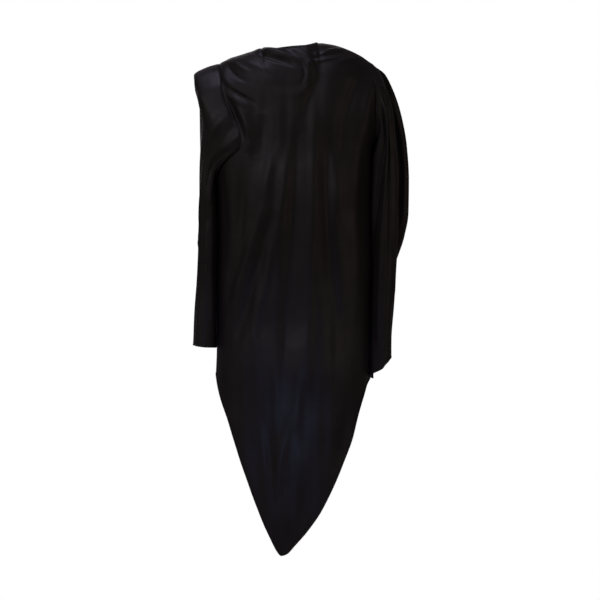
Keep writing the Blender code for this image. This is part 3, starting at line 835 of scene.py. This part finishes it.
def buildTop():
    satin = {part: makeSatin("blackSilkSatin" + part.capitalize())
             for part in ("front", "back", "sleeve", "drape")}
    thread = makeThread()
    wall = cloth["thickness"]

    front, frontForm = clothPanel("front", frontFolds)
    back, backForm = clothPanel("back", backFolds)
    print("panels shaped", front.shape, back.shape)
    frontPiece = settle(makeMesh("frontCloth", front, satin["front"], thickness=wall),
                        "front_satin", "front_panel")
    backPiece = settle(makeMesh("backCloth", back, satin["back"], turned=True, thickness=wall),
                       "back_satin", "back_panel")

    forms, panels = (frontForm, backForm), (front, back)
    plain = clothSleeve("left", plainSleeveFolds, forms, panels)
    slanted = clothSleeve("right", slantedSleeveFolds, forms, panels)
    print("sleeves shaped", plain.shape, slanted.shape)
    plainPiece = settle(makeMesh("plainSleeveCloth", plain, satin["sleeve"], ring=True, turned=True,
                                 thickness=wall), "sleeve_satin", "sleeve_plain")
    slantedPiece = settle(makeMesh("slantedSleeveCloth", slanted, satin["sleeve"], ring=True,
                                   thickness=wall), "sleeve_satin", "sleeve_slanted")

    drape = clothDrape(back)
    drapePiece = settle(makeMesh("drapeCloth", drape, satin["drape"], turned=True, thickness=wall),
                        "drape_satin", "side_drape")
    print("drape shaped", drape.shape)

    first = round(panelLook["neckStart"] * panelLook["columns"])
    last = round(panelLook["neckEnd"] * panelLook["columns"])
    neck = slice(first, last + 1)
    # Name, edge, a line just inside it, which side is out, satin, slot, closed.
    edges = (
        ("frontHem", front[-1], front[-4], -1, "front", "front_satin", False),
        ("backHem", back[-1], back[-4], 1, "back", "back_satin", False),
        ("frontNeckEdge", front[0, neck], front[3, neck], 1, "front", "front_satin", False),
        ("backNeckEdge", back[0, neck], back[3, neck], -1, "back", "back_satin", False),
        ("plainCuff", plain[-1], plain[-4], -1, "sleeve", "sleeve_satin", True),
        ("slantedCuff", slanted[-1], slanted[-4], 1, "sleeve", "sleeve_satin", True),
    )
    for name, edge, inner, side, look, slotName, closed in edges:
        hem = rolledHem(name + "Roll", edge, inner, side, satin[look], slotName, closed)
        sewing = stitches(name + "Stitches", edge, inner, side, thread, slotName, closed)
    print("hems and stitches made")


studio = {
    "cameraDistance": 5.0,
    "viewWidth": 1.296,      # metres across the picture at the origin's plane
    "aimX": 0.0119,
    "aimZ": -0.5054,
    "floorLevel": -1.40,
    "floorRadius": 1.5,
    "floorLift": 0.70,       # the floor looks pale, but throws no light on the cloth
    "backdrop": "#ffffff",
    "ambient": 0.075,
    "ambientColour": "#ffe8de",
}

# Columns: name, place, aim, width, height, power, colour.
studioLights = (
    ("keySoftbox", (-1.5, -2.4, 1.1), (-0.05, 0.0, -0.1), 1.3, 1.3, 14.0, "#f8f2fb"),
    ("fillSoftbox", (2.3, -1.9, 0.0), (0.1, 0.0, -0.4), 1.2, 2.2, 6.5, "#ffeadc"),
    ("sideSoftbox", (-2.5, -1.2, -0.2), (0.0, 0.0, -0.5), 1.2, 2.2, 3.0, "#fff0e4"),
    ("topSoftbox", (-0.35, -0.45, 1.7), (-0.1, 0.0, 0.0), 1.0, 0.8, 12.0, "#e6dfff"),
    ("backSoftbox", (-0.6, 3.0, 0.9), (0.0, 0.1, -0.4), 1.8, 1.8, 16.0, "#f8f4ff"),
)

tailSpot = {"place": (-0.10, -2.6, -0.97), "aim": (-0.03, -0.13, -0.72), "angle": 14.0, "size": 0.14,
            "power": 34.0, "colour": "#a9bcff"}


def pointAt(item, place, aim):
    # Lamps and cameras look along their own -Z.
    direction = mathutils.Vector(aim) - mathutils.Vector(place)
    item.location = place
    item.rotation_euler = direction.to_track_quat("-Z", "Y").to_euler()


def buildStudio():
    scene = bpy.context.scene
    scene.view_settings.view_transform = "Standard"    # a white backdrop stays white
    camera = bpy.data.cameras.new("camera")
    camera.sensor_width = 36.0
    camera.lens = camera.sensor_width * studio["cameraDistance"] / studio["viewWidth"]
    eye = bpy.data.objects.new("camera", camera)
    scene.collection.objects.link(eye)
    aimX, aimZ = studio["aimX"], studio["aimZ"]
    pointAt(eye, (aimX, -studio["cameraDistance"], aimZ), (aimX, 0.0, aimZ))
    scene.camera = eye

    for name, place, aim, width, height, power, colour in studioLights:
        lamp = bpy.data.lights.new(name, "AREA")
        lamp.shape = "RECTANGLE"
        lamp.size, lamp.size_y = width, height
        lamp.energy = power
        lamp.color = linear(colour)[:3]
        item = bpy.data.objects.new(name, lamp)
        scene.collection.objects.link(item)
        pointAt(item, place, aim)

    lamp = bpy.data.lights.new("tailSpot", "SPOT")      # a cool pool of light on the tail
    lamp.spot_size, lamp.spot_blend = np.radians(tailSpot["angle"]), 1.0
    lamp.shadow_soft_size = tailSpot["size"]
    lamp.energy, lamp.color = tailSpot["power"], linear(tailSpot["colour"])[:3]
    item = bpy.data.objects.new("tailSpot", lamp)
    scene.collection.objects.link(item)
    pointAt(item, tailSpot["place"], tailSpot["aim"])

    world = bpy.data.worlds.new("studioWorld")
    world.use_nodes = True
    scene.world = world
    tree = world.node_tree
    tree.nodes.clear()
    ray = addNode(tree, "ShaderNodeLightPath")
    dim = addNode(tree, "ShaderNodeBackground",
                  {"Color": linear(studio["ambientColour"]), "Strength": studio["ambient"]})
    white = addNode(tree, "ShaderNodeBackground", {"Color": linear(studio["backdrop"]), "Strength": 1.0})
    mixed = addNode(tree, "ShaderNodeMixShader",
                    links={0: ray.outputs["Is Camera Ray"], 1: dim.outputs[0], 2: white.outputs[0]})
    addNode(tree, "ShaderNodeOutputWorld", links={"Surface": mixed.outputs[0]})

    # Floor: a disc, points at even angles round its rim.
    angle = np.linspace(0, 2 * np.pi, 96, endpoint=False)
    rim = np.stack([np.cos(angle) * studio["floorRadius"], np.sin(angle) * studio["floorRadius"],
                    np.full(len(angle), studio["floorLevel"])], axis=-1)
    mesh = bpy.data.meshes.new("floor")
    mesh.from_pydata(rim.tolist(), [], [list(range(len(angle)))])
    floor = bpy.data.objects.new("floor", mesh)
    scene.collection.objects.link(floor)
    paint = bpy.data.materials.new("matteWhitePaint")     # flat floor paint, no gloss
    paint.use_nodes = True
    shader = paint.node_tree.nodes["Principled BSDF"]
    shader.inputs["Base Color"].default_value = linear("#f4f3f1")
    shader.inputs["Roughness"].default_value = 0.9
    shader.inputs["Emission Color"].default_value = linear("#f7f5f3")
    seen = addNode(paint.node_tree, "ShaderNodeLightPath")
    lift = addNode(paint.node_tree, "ShaderNodeMath",
                   {"operation": "MULTIPLY", 1: studio["floorLift"]},
                   {0: seen.outputs["Is Camera Ray"]})
    paint.node_tree.links.new(lift.outputs[0], shader.inputs["Emission Strength"])
    mesh.materials.append(paint)
    print("studio ready")


buildStudio()
buildTop()
